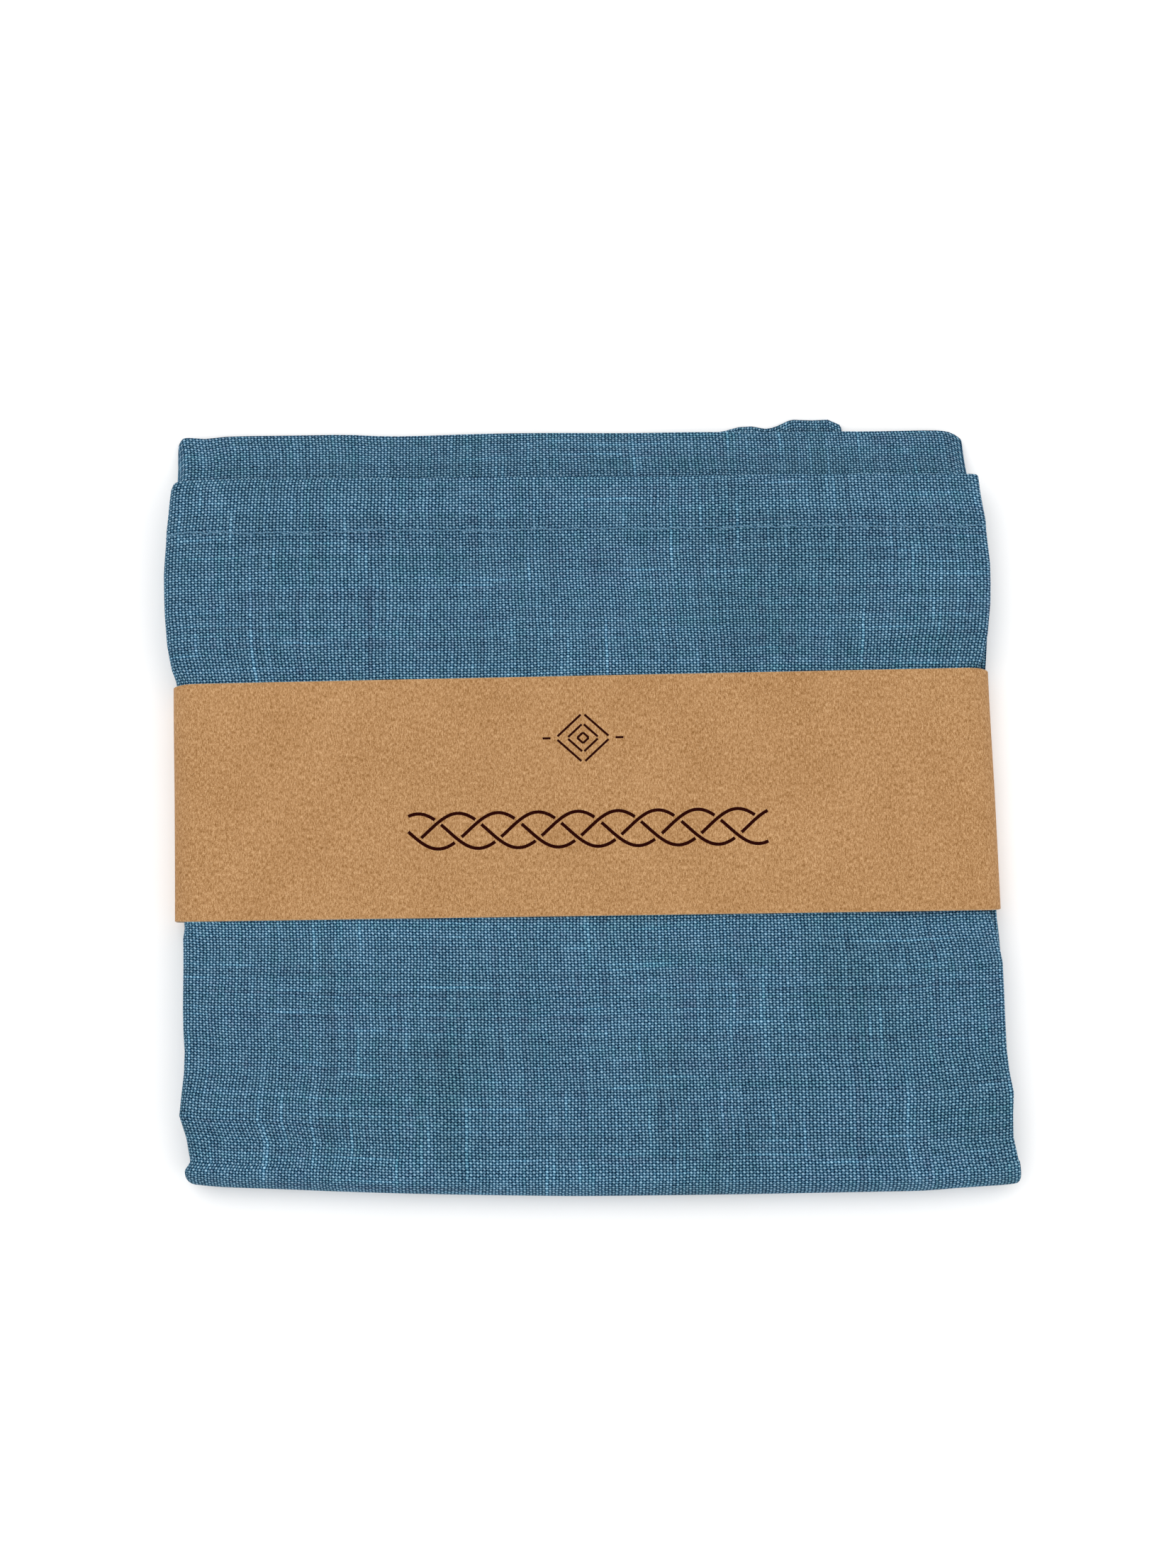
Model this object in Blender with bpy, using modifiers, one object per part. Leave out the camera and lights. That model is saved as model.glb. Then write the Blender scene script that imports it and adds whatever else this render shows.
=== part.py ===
"""Folded table runner in a paper belly band.

One woven sheet is folded along its length into eight panels, which makes a pack eight layers thick.
The pack is then folded in half, which makes sixteen layers with one thick round nose. A kraft-paper
band goes round the pack and is lapped and glued underneath. The band slides off along Y.

Frame: metres, +Z up. The pack lies on a table with its origin under the middle of its box. +Y points
to the hemmed edges, -Y to the round nose, and the panels' side folds face -X and +X.
"""

import math

import bmesh
import bpy
from mathutils import Vector

# The sheet, as it was hemmed
RUNNER_LENGTH = 1.760
RUNNER_WIDTH = 0.406
CLOTH_THICKNESS = 0.0005
HEM_STITCH_INSET = 0.0153

# The folded pack
LAYER_PITCH = 0.0008
LEVELS = 8
FRONT_REACH = 0.195
INNER_END_INSET = 0.033
OUTER_END_INSET = 0.004
RIGHT_TUCK = 0.0016

# Sewing thread, which lies flush in a narrow slot that stands for its row of needle holes
THREAD_DIAMETER = 0.0003
SLOT_WIDTH = 0.0009
BACK_SLOT_WIDTH = 0.0018
END_SLOT_MARGIN = 0.020
END_THREAD_MARGIN = 0.0205

# Paper band
PAPER_THICKNESS = 0.00035
BAND_WIDTH = 0.067
BAND_CENTRE_Y = 0.0018
BAND_CORNER_RADIUS = 0.0045
LAP_HALF_LENGTH = 0.012
LAP_RAMP = 0.006
GLUE_LENGTH = 0.016
GLUE_WIDTH = 0.055
GLUE_THICKNESS = 0.0001
GAP = 0.0003

# Fineness of the round shapes
FOLD_STEPS = 6
NOSE_STEPS = 9
CORNER_STEPS = 7
THREAD_SIDES_RESOLUTION = 1

# The order in which the sheet runs through the pack: (level it comes from, level it goes to, side).
# Level 0 is the pack's outer face and level 7 is the face that ends up folded onto itself.
FOLDS = [(4, 3, -1), (3, 0, 1), (0, 7, -1), (7, 6, 1), (6, 1, -1), (1, 2, 1), (2, 5, -1)]

COLLECTION = "folded_table_runner"


def clear_scene():
    for item in list(bpy.data.objects):
        bpy.data.objects.remove(item, do_unlink=True)


def make_collection(name):
    collection = bpy.data.collections.new(name)
    bpy.context.scene.collection.children.link(collection)
    return collection


def make_material(name, colour, roughness):
    material = bpy.data.materials.new(name)
    material.use_nodes = True
    shader = material.node_tree.nodes["Principled BSDF"]
    shader.inputs["Base Color"].default_value = (*colour, 1.0)
    shader.inputs["Roughness"].default_value = roughness
    shader.inputs["Metallic"].default_value = 0.0
    return material


def fold_radius(fold):
    """Radius of a side fold's middle surface: half the levels that it spans."""
    start, end, _ = fold
    return abs(end - start) * LAYER_PITCH / 2


def pack_width():
    """Width between the outermost side folds that uses up the runner's length."""
    arcs = sum(math.pi * fold_radius(fold) for fold in FOLDS)
    widest_left = max(fold_radius(fold) for fold in FOLDS if fold[2] < 0)
    trims = INNER_END_INSET + OUTER_END_INSET + 2 * widest_left
    for before, after in zip(FOLDS[:-1], FOLDS[1:]):
        trims += widest_left
        right = before if before[2] > 0 else after
        trims += right_centre_inset(right)
    return (RUNNER_LENGTH - arcs + trims) / LEVELS


def right_centre_inset(fold):
    """Distance from the pack's right extreme to the centre of a right-hand fold.

    The two folds nearest the pack's outer face share a centre, tucked in to suit the band's corner.
    """
    if min(fold[0], fold[1]) < LEVELS / 2:
        return fold_radius((3, 0, 1)) + RIGHT_TUCK
    return fold_radius(fold)


def layer_path(start_trim=0.0, end_trim=0.0):
    """Points (x, level) of the sheet's middle surface through the pack, from one end to the other."""
    half = pack_width() / 2
    left_centre = -half + fold_radius((0, 7, -1))
    points = [(half - INNER_END_INSET - start_trim, 4.0)]
    for fold in FOLDS:
        start, end, side = fold
        radius = fold_radius(fold)
        centre_x = left_centre
        if side > 0:
            centre_x = half - right_centre_inset(fold)
        middle = (start + end) / 2
        reach = (start - end) / 2
        for step in range(FOLD_STEPS + 1):
            angle = math.pi * step / FOLD_STEPS
            x = centre_x + side * radius * math.sin(angle)
            points.append((x, middle + reach * math.cos(angle)))
    points.append((half - OUTER_END_INSET - end_trim, 5.0))
    return points


def nose_radius(level):
    """Radius about the nose's axis: the outer face is furthest out."""
    return (LEVELS - 0.5 - level) * LAYER_PITCH


def back_reach(level):
    """Distance from the nose's axis to the back hem edge: what the front and the nose leave over."""
    return RUNNER_WIDTH - FRONT_REACH - math.pi * nose_radius(level)


def nose_axis():
    """(y, z) of the nose's axis, with the pack's box centred on Y and the paper under it."""
    front = nose_radius(0) + CLOTH_THICKNESS / 2
    back = back_reach(LEVELS - 1)
    lap_height = 2 * PAPER_THICKNESS + GLUE_THICKNESS + 2 * GAP
    return (front - back) / 2, lap_height + GAP + front


def place(x, level, station):
    """World point of the sheet at x, level and a station ("front", y), ("nose", angle) or ("back", y).

    The front and back distances are measured from the hem edge towards the nose.
    """
    axis_y, axis_z = nose_axis()
    radius = nose_radius(level)
    kind, value = station
    if kind == "front":
        return Vector((x, axis_y + FRONT_REACH - value, axis_z + radius))
    if kind == "nose":
        return Vector((x, axis_y - radius * math.sin(value), axis_z + radius * math.cos(value)))
    return Vector((x, axis_y + back_reach(level) - value, axis_z - radius))


def nose_stations():
    return [("nose", math.pi * step / NOSE_STEPS) for step in range(NOSE_STEPS + 1)]


def hem_insets(slot_width):
    """Distances in from a hem edge: the edge, both sides of its slot, and the end slots' margin."""
    near = HEM_STITCH_INSET - slot_width / 2
    far = HEM_STITCH_INSET + slot_width / 2
    return [0.0, near, far, END_SLOT_MARGIN]


def cloth_stations():
    """Stations across the sheet, with a pair round each row of stitches.

    The back hem is staggered from layer to layer, so its slot crosses the side folds at a slant and
    needs to be wider to clear the thread.
    """
    front = [("front", inset) for inset in hem_insets(SLOT_WIDTH)]
    back = [("back", inset) for inset in reversed(hem_insets(BACK_SLOT_WIDTH))]
    return front + nose_stations() + back


def link_mesh(name, mesh, collection, material):
    item = bpy.data.objects.new(name, mesh)
    collection.objects.link(item)
    mesh.materials.append(material)
    return item


def cloth_columns():
    """(x, level) columns of the sheet, with a pair of columns round each end's row of stitches."""
    path = layer_path()
    near = HEM_STITCH_INSET - SLOT_WIDTH / 2
    far = HEM_STITCH_INSET + SLOT_WIDTH / 2
    first = [(path[0][0] - offset, path[0][1]) for offset in (0.0, near, far)]
    last = [(path[-1][0] - offset, path[-1][1]) for offset in (far, near, 0.0)]
    return first + path[1:-1] + last


def in_long_slot(column, station_pair, column_count):
    """Whether a face lies in a long side's slot, which stops short of both ends' hems."""
    inside = 2 <= column < column_count - 3
    return inside and station_pair in (1, len(cloth_stations()) - 3)


def in_end_slot(column, station_pair, column_count):
    """Whether a face lies in an end's slot, which stops short of both long sides' hems."""
    inside = 2 < station_pair < len(cloth_stations()) - 4
    return inside and column in (1, column_count - 3)


def make_cloth(collection, material):
    """The folded sheet: an open surface through all the layers, made solid."""
    columns = cloth_columns()
    stations = cloth_stations()
    cage = bmesh.new()
    grid = [[cage.verts.new(place(x, level, station)) for station in stations] for x, level in columns]
    count = len(columns)
    for i in range(count - 1):
        for j in range(len(stations) - 1):
            if in_long_slot(i, j, count) or in_end_slot(i, j, count):
                continue
            cage.faces.new((grid[i][j], grid[i][j + 1], grid[i + 1][j + 1], grid[i + 1][j]))
    mesh = bpy.data.meshes.new("runner_cloth")
    cage.to_mesh(mesh)
    cage.free()
    cloth = link_mesh("runner_cloth", mesh, collection, material)
    solid = cloth.modifiers.new("Thickness", "SOLIDIFY")
    solid.thickness = CLOTH_THICKNESS
    solid.offset = 0.0
    solid.use_even_offset = True
    mesh.shade_smooth()
    mesh.set_sharp_from_angle(angle=math.radians(40))
    return cloth


def make_thread(name, points, collection, material):
    """A thread as one round tube through the given points."""
    curve = bpy.data.curves.new(name, "CURVE")
    curve.dimensions = "3D"
    curve.bevel_depth = THREAD_DIAMETER / 2
    curve.bevel_resolution = THREAD_SIDES_RESOLUTION
    curve.use_fill_caps = True
    spline = curve.splines.new("POLY")
    spline.points.add(len(points) - 1)
    for spot, point in zip(spline.points, points):
        spot.co = (*point, 1.0)
    item = bpy.data.objects.new(name, curve)
    collection.objects.link(item)
    curve.materials.append(material)
    return item


def long_hem_points(kind):
    """Route of a long side's thread: along the sheet, one stitch inset in from that side's edge."""
    trim = HEM_STITCH_INSET + 0.002
    station = (kind, HEM_STITCH_INSET)
    return [place(x, level, station) for x, level in layer_path(trim, trim)]


def end_hem_points(column):
    """Route of an end's thread: across the sheet and round the nose, at one x and level."""
    x, level = column
    stations = [("front", END_THREAD_MARGIN)] + nose_stations() + [("back", END_THREAD_MARGIN)]
    return [place(x - HEM_STITCH_INSET, level, station) for station in stations]


def band_half_width():
    """Half the band's width to its outer face, clear of the side folds inside its round corners."""
    fold = fold_radius((0, 7, -1)) + CLOTH_THICKNESS / 2 + GAP
    corner_loss = BAND_CORNER_RADIUS - PAPER_THICKNESS - fold
    return pack_width() / 2 + CLOTH_THICKNESS / 2 + GAP + corner_loss + PAPER_THICKNESS


def corner_arc(centre_x, centre_z, start_angle):
    """A quarter turn, clockwise as seen from -Y, about a corner's centre."""
    radius = BAND_CORNER_RADIUS - PAPER_THICKNESS / 2
    angles = [start_angle - math.pi / 2 * step / CORNER_STEPS for step in range(CORNER_STEPS + 1)]
    return [(centre_x + radius * math.cos(a), centre_z + radius * math.sin(a)) for a in angles]


def band_outline():
    """(x, z) points of the band's middle surface, from the outer flap round to the inner flap."""
    axis_z = nose_axis()[1]
    top = axis_z + nose_radius(0) + CLOTH_THICKNESS / 2 + GAP + PAPER_THICKNESS
    outer_x = band_half_width() - BAND_CORNER_RADIUS
    low_z = BAND_CORNER_RADIUS
    high_z = top - BAND_CORNER_RADIUS
    flat = PAPER_THICKNESS / 2
    lifted = flat + PAPER_THICKNESS + GLUE_THICKNESS + 2 * GAP
    points = [(LAP_HALF_LENGTH, flat)]
    points += corner_arc(-outer_x, low_z, math.radians(270))
    points += corner_arc(-outer_x, high_z, math.radians(180))
    points += corner_arc(outer_x, high_z, math.radians(90))
    points += corner_arc(outer_x, low_z, 0.0)
    points += [(LAP_HALF_LENGTH + GAP + LAP_RAMP, flat), (LAP_HALF_LENGTH + GAP, lifted)]
    points += [(-LAP_HALF_LENGTH, lifted)]
    return points


def make_band(collection, material):
    """The paper strip: its outline drawn along Y as an open surface, made solid."""
    cage = bmesh.new()
    low_y = BAND_CENTRE_Y - BAND_WIDTH / 2
    rows = []
    for x, z in band_outline():
        rows.append([cage.verts.new((x, low_y + side * BAND_WIDTH, z)) for side in (0, 1)])
    for before, after in zip(rows[:-1], rows[1:]):
        cage.faces.new((before[0], before[1], after[1], after[0]))
    mesh = bpy.data.meshes.new("kraft_band")
    cage.to_mesh(mesh)
    cage.free()
    band = link_mesh("kraft_band", mesh, collection, material)
    solid = band.modifiers.new("Thickness", "SOLIDIFY")
    solid.thickness = PAPER_THICKNESS
    solid.offset = 0.0
    solid.use_even_offset = True
    mesh.shade_smooth()
    mesh.set_sharp_from_angle(angle=math.radians(30))
    return band


def make_glue(collection, material):
    """The thin glue strip between the lap's two flaps."""
    bpy.ops.mesh.primitive_cube_add(size=1.0)
    glue = bpy.context.active_object
    glue.name = "band_glue"
    glue.data.name = "band_glue"
    glue.scale = (GLUE_LENGTH, GLUE_WIDTH, GLUE_THICKNESS)
    glue.location = (0.0, BAND_CENTRE_Y, PAPER_THICKNESS + GAP + GLUE_THICKNESS / 2)
    for owner in list(glue.users_collection):
        owner.objects.unlink(glue)
    collection.objects.link(glue)
    glue.data.materials.append(material)
    return glue


def main():
    clear_scene()
    collection = make_collection(COLLECTION)
    cloth = make_material("blue_cloth", (0.074, 0.159, 0.241), 0.9)
    thread = make_material("blue_thread", (0.137, 0.266, 0.381), 0.7)
    paper = make_material("kraft_paper", (0.539, 0.292, 0.122), 0.8)
    glue = make_material("clear_glue", (0.75, 0.7, 0.58), 0.3)
    columns = layer_path()
    make_cloth(collection, cloth)
    make_thread("hem_thread_front", long_hem_points("front"), collection, thread)
    make_thread("hem_thread_back", long_hem_points("back"), collection, thread)
    make_thread("end_thread_inner", end_hem_points(columns[0]), collection, thread)
    make_thread("end_thread_outer", end_hem_points(columns[-1]), collection, thread)
    make_band(collection, paper)
    make_glue(collection, glue)


main()
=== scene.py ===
"""Looks for the folded table runner in its kraft-paper belly band.

The sheet is one closed mesh that runs through all sixteen layers of the pack. It is laid out in "pack
space" (x, level, distance across the sheet) as in the CAD, and then settled: every layer takes its share
of the height at each spot, so layers rest on one another, droop past the edges below them and are
squeezed under the band.
"""

import math

import bpy
import numpy as np
from mathutils import Matrix, Vector


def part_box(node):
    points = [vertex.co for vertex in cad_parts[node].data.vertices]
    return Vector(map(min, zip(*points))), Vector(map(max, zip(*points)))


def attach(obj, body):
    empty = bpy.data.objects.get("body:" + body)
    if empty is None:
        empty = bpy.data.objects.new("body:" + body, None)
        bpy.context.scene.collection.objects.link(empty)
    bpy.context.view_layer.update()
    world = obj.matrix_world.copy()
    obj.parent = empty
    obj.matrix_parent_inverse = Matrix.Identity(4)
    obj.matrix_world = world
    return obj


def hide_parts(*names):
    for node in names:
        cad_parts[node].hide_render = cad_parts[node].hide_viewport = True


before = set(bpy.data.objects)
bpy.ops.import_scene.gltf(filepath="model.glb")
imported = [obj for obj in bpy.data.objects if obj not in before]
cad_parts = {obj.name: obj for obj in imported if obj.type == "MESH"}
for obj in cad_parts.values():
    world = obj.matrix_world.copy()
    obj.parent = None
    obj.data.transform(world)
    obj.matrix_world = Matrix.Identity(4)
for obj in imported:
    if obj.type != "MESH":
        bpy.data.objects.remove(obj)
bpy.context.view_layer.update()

MM = 0.001

# The sheet and its folds, as in the CAD
CLOTH_LO, CLOTH_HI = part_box("runner_cloth")
RUNNER_WIDTH = 0.406
PITCH = 0.8 * MM
LEVELS = 8
FRONT_REACH = 0.195
HEM = 15.3 * MM
NOSE_OUTER = 7.5 * PITCH
HALF_CLOTH = 0.25 * MM
AXIS_Y = CLOTH_LO.y + NOSE_OUTER + HALF_CLOTH
HALF_WIDTH = (CLOTH_HI.x - CLOTH_LO.x) / 2
HALF_PATH = HALF_WIDTH - HALF_CLOTH
RIGHT_TUCK = 1.6 * MM
INNER_LEVEL, INNER_END_INSET = 4, 33 * MM
OUTER_LEVEL, OUTER_END_INSET = 5, 4 * MM
# Each fold goes from one level to another, on the left (-1) or right (1), from the inner end outwards
FOLDS = [(4, 3, -1), (3, 0, 1), (0, 7, -1), (7, 6, 1), (6, 1, -1), (1, 2, 1), (2, 5, -1)]

# The band, as in the CAD
BAND_LO, BAND_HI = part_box("kraft_band")
BAND_LOW_Y, BAND_HIGH_Y = BAND_LO.y, BAND_HI.y
PAPER = 0.35 * MM
ROOM_FOR_WAVES = 0.25 * MM
BAND_TOP = BAND_HI.z - ROOM_FOR_WAVES

BODY_CLOTH = "folded_cloth"
BODY_BAND = "belly_band"


# -------- number helpers


def smooth(low, high, value):
    """0 below low, 1 above high, and a smooth step between."""
    t = np.clip((value - low) / (high - low), 0.0, 1.0)
    return t * t * (3.0 - 2.0 * t)


def table(points):
    """A smooth curve through (position, value) pairs given in millimetres, as a function in metres."""
    knots = np.array(sorted(points), float) * MM
    rises = np.diff(knots[:, 1]) / np.diff(knots[:, 0])
    before, after = np.r_[0.0, rises], np.r_[rises, 0.0]
    both = before * after
    slopes = np.where(both > 0, 2 * both / np.where(both > 0, before + after, 1.0), 0.0)

    def read(position):
        position = np.clip(position, knots[0, 0], knots[-1, 0])
        k = np.clip(np.searchsorted(knots[:, 0], position) - 1, 0, len(knots) - 2)
        x0, x1 = knots[k, 0], knots[k + 1, 0]
        h = x1 - x0
        t = (position - x0) / h
        y0, y1 = knots[k, 1], knots[k + 1, 1]
        m0, m1 = slopes[k] * h, slopes[k + 1] * h
        a = (1 + 2 * t) * (1 - t) ** 2 * y0 + t * (1 - t) ** 2 * m0
        return a + t * t * (3 - 2 * t) * y1 + t * t * (t - 1) * m1

    return read


def waves(seed, shortest, longest, count):
    """A fixed sum of sine waves over (x, y) with heights up to about one."""
    draw = np.random.RandomState(seed)
    length = longest * (shortest / longest) ** draw.rand(count)
    turn = draw.rand(count) * 2 * math.pi
    shift = draw.rand(count) * 2 * math.pi
    share = length / length.sum()

    def read(x, y):
        total = 0.0
        for one, angle, start, part in zip(length, turn, shift, share):
            along = x * math.cos(angle) + y * math.sin(angle)
            total = total + part * np.sin(2 * math.pi * along / one + start)
        return total

    return read


# -------- the folded pack


def fold_radius(fold):
    """A side fold's radius at the middle of the cloth."""
    return abs(fold[1] - fold[0]) * PITCH / 2


# The left folds lie round one centre, and so do the right folds of the four outer levels
LEFT_CENTRE = -HALF_PATH + fold_radius((0, 7, -1))
OUTER_RIGHT_CENTRE = HALF_PATH - fold_radius((3, 0, 1)) - RIGHT_TUCK

# Mesh steps round a fold by the levels it spans, and columns along the levels that can be seen
FOLD_STEPS = {7: 18, 5: 12, 3: 12, 1: 8}
LEVEL_COLUMNS = {0: 56, 7: 38, 4: 40}
NEAR_FOLD = np.array([0.9, 2.2, 3.8]) * MM
HIDDEN_COLUMNS = 13
END_INSETS = [0.0, 0.07, 0.2, 0.5, 4.0, 9.0, 13.5, 15.3, 17.0, 21.0]


def fold_centre(fold):
    """x of a side fold's centre."""
    start, end, side = fold
    if side < 0:
        return LEFT_CENTRE
    return OUTER_RIGHT_CENTRE if min(start, end) < LEVELS / 2 else HALF_PATH - fold_radius(fold)


def sheet_path():
    """x, level and length along the sheet's middle surface, from the inner end to the outer end."""
    insets = np.array(END_INSETS) * MM
    xs = list(HALF_PATH - INNER_END_INSET - insets)
    levels = [INNER_LEVEL] * len(xs)
    for fold in FOLDS:
        start, end, side = fold
        radius = fold_radius(fold)
        centre = fold_centre(fold)
        count = LEVEL_COLUMNS.get(start, HIDDEN_COLUMNS)
        run = np.linspace(xs[-1], centre, count + 1)[1:-1]
        if start in LEVEL_COLUMNS:
            run = np.sort(np.r_[run, centre - side * NEAR_FOLD, xs[-1] + side * NEAR_FOLD])[::side]
        xs += list(run)
        levels += [start] * len(run)
        angles = np.linspace(0, math.pi, FOLD_STEPS[abs(end - start)] + 1)
        xs += list(centre + side * radius * np.sin(angles))
        levels += list((start + end) / 2 + (start - end) / 2 * np.cos(angles))
    ends = list(HALF_PATH - OUTER_END_INSET - insets[::-1])
    run = np.linspace(xs[-1], ends[0], HIDDEN_COLUMNS + 1)[1:-1]
    xs += list(run) + ends
    levels += [OUTER_LEVEL] * (len(run) + len(ends))
    x, level = np.array(xs), np.array(levels)
    steps = np.hypot(np.diff(x), np.diff(level) * PITCH)
    return x, level, np.r_[0.0, np.cumsum(steps)]


PATH_X, PATH_LEVEL, PATH_S = sheet_path()
PATH_END = PATH_S[-1]


def path_normals():
    """The face side's direction in (x, level) at each column."""
    along_x = np.gradient(PATH_X, PATH_S)
    along_w = np.gradient(PATH_LEVEL * PITCH, PATH_S)
    size = np.hypot(along_x, along_w)
    return -along_w / size, along_x / size


PATH_NX, PATH_NW = path_normals()


def on_path(s):
    """x, level and face direction at lengths s along the sheet."""
    return [np.interp(s, PATH_S, values) for values in (PATH_X, PATH_LEVEL, PATH_NX, PATH_NW)]


# The silhouette's sides as (y, x) in millimetres, of the upper layers (front) and the lower ones (back)
LEFT_FRONT = table([
    (94, -113.6), (90, -114.8), (82, -115.7), (74, -116.6), (66, -117.1), (58, -116.9), (49, -116.4),
    (41, -115.1), (36, -114.2), (30, -113.4), (0, -113.2), (-27, -112.4), (-34, -111.5), (-42, -111.2),
    (-58, -111.3), (-66, -110.8), (-73, -111.0), (-77, -111.4), (-81, -112.2), (-85, -112.2),
    (-89, -110.6), (-92, -109.5), (-96, -109.2), (-99, -110.9), (-103, -111.3), (-108, -111.4),
])
RIGHT_FRONT = table([
    (94, 112.0), (86, 112.5), (78, 113.7), (70, 114.5), (66, 114.8), (58, 114.6), (50, 114.0),
    (41, 113.3), (36, 112.8), (30, 112.5), (0, 112.7), (-27, 113.1), (-38, 113.2), (-46, 113.7),
    (-62, 113.7), (-74, 113.8), (-78, 114.9), (-82, 115.2), (-89, 114.7), (-95, 114.6), (-101, 116.0),
    (-108, 116.9),
])
LEFT_BACK = table([
    (111, -116.0), (107, -115.6), (104, -114.9), (98, -114.3), (92, -114.3), (80, -115.0),
    (60, -115.9), (41, -114.6), (34, -113.5), (0, -113.2), (-27, -112.4), (-34, -111.5), (-58, -111.5),
    (-66, -110.9), (-73, -111.1), (-81, -112.2), (-85, -112.2), (-89, -110.6), (-92, -109.5),
    (-96, -109.2), (-99, -110.9), (-108, -111.4),
])
RIGHT_BACK = table([
    (111, 108.0), (104, 109.4), (96, 109.9), (80, 111.0), (60, 112.6), (41, 112.8), (30, 112.6),
    (0, 112.8), (-27, 113.3), (-46, 114.1), (-74, 114.2), (-78, 115.3), (-82, 115.6), (-89, 115.1),
    (-95, 115.4), (-101, 116.4), (-108, 116.9),
])

# The band's sides as (y, x)
BAND_LEFT = table([(-40, -114.0), (-31, -114.0), (0, -114.2), (34, -114.6), (40, -114.6)])
BAND_RIGHT = table([(-40, 114.3), (-31, 114.2), (0, 113.9), (34, 113.4), (40, 113.4)])

# How far the nose, the upper layers' hems and the bottom layer's hem leave straight lines, as (x, shift)
NOSE_SHIFT = table([
    (-118, 6.2), (-111, 5.6), (-104, 4.8), (-84, 3.7), (-70, 2.9), (-46, 1.8), (-20, 0.9), (0, 0.4),
    (50, 0.1), (84, 0.1), (95, 0.7), (101, 1.0), (108, 1.4), (112, 2.0), (115, 3.2), (118, 5.4),
])
FRONT_HEM_SHIFT = table([
    (-116, -1.3), (-103, -0.9), (-63, -1.2), (-24, -1.4), (16, -1.7), (56, -1.8), (96, -2.0), (116, -2.2),
])
BACK_HEM_SHIFT = table([
    (-116, -1.6), (-113, -0.6), (-109, 0.6), (-104, 0.2), (-96, 0.9), (-68, 0.9), (-52, 0.1), (-24, 0.5),
    (17, 0.1), (49, -0.5), (78, -0.7), (98, -0.6), (104, -0.5), (109, -0.8), (111, -1.5), (113, -3.2),
    (114.5, -6.0),
])

# How far the inner end's panel has slipped towards the back, which shows as a hump behind the pack
SLIP = table([
    (-116, 0), (-30, 0), (-20, 0.2), (0, 1.4), (20, 3.8), (41, 7.6), (49, 9.3), (55, 8.5), (60, 9.6),
    (64, 11.0), (70, 10.5), (73, 10.8), (78.5, 10.0), (80.5, 7.5),
])
SLIP_FADE = 100 * MM

# The pack's height, what lies under it, and its slow waves
HEIGHT = 14.35 * MM
RELIEF_DEPTH = 0.45 * MM
relief = waves(5, 26 * MM, 95 * MM, 9)
GROUND = 0.24 * MM
FLAP_LIFT, LAP_LIFT, LAP_FADE = 0.19 * MM, 0.42 * MM, (12 * MM, 22 * MM)
BAND_CLEARANCE = 0.14 * MM
BAND_REACH = 9 * MM
SIDE_SINK, SINK_SPAN = 0.035, (96 * MM, 114 * MM)

# A layer's share of the height: more in its hem, and less past its own edge, rim or end
HEM_SWELL = 0.20
EDGE_DROOP, EDGE_DROOP_REACH = 0.93, 5.5 * MM
RIM_DROOP, RIM_DROOP_REACH = 0.6, 5 * MM
END_DROOP, END_DROOP_REACH = 0.55, 5 * MM
HEM_WAVE_HEIGHT = 1.1 * MM
hem_waves = {level: waves(40 + level, 30 * MM, 110 * MM, 4) for level in range(1, LEVELS - 1)}


def back_reach(level):
    """How far a level of the lower layers reaches back from the nose's axis."""
    return RUNNER_WIDTH - FRONT_REACH - math.pi * (LEVELS - 0.5 - level) * PITCH


def under_band(y, reach=BAND_REACH):
    """1 under the band, falling to 0 within reach of its edges."""
    return smooth(BAND_LOW_Y - reach, BAND_LOW_Y, y) * (1 - smooth(BAND_HIGH_Y, BAND_HIGH_Y + reach, y))


def near_level(level, k):
    """1 at level k, falling to 0 at the levels next to it."""
    return np.clip(1 - np.abs(level - k), 0, 1)


def slip(level, x):
    """How far a level's panel has moved towards the back."""
    return near_level(level, INNER_LEVEL) * SLIP(x)


def ragged(level, x):
    """Small waves of a level's hem edges. The outermost levels follow the photograph instead."""
    return sum(near_level(level, k) * wave(x, 0 * x) for k, wave in hem_waves.items()) * HEM_WAVE_HEIGHT


def back_edge(level, x):
    """y of a level's back hem edge."""
    return AXIS_Y + back_reach(level) + slip(level, x) + ragged(level, x)


def end_share(level, x):
    """How much of a level is there at x: the two levels with the sheet's ends stop short at the right."""
    inset = {INNER_LEVEL: INNER_END_INSET, OUTER_LEVEL: OUTER_END_INSET}.get(level)
    if inset is None:
        return np.ones_like(x)
    stop = HALF_PATH - inset
    return 1 - END_DROOP * smooth(stop, stop + END_DROOP_REACH, x)


def swell(inset):
    """How much thicker a layer is in its hem."""
    return 1 + HEM_SWELL * (1 - smooth(HEM - 1.5 * MM, HEM + 2.5 * MM, inset))


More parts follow.
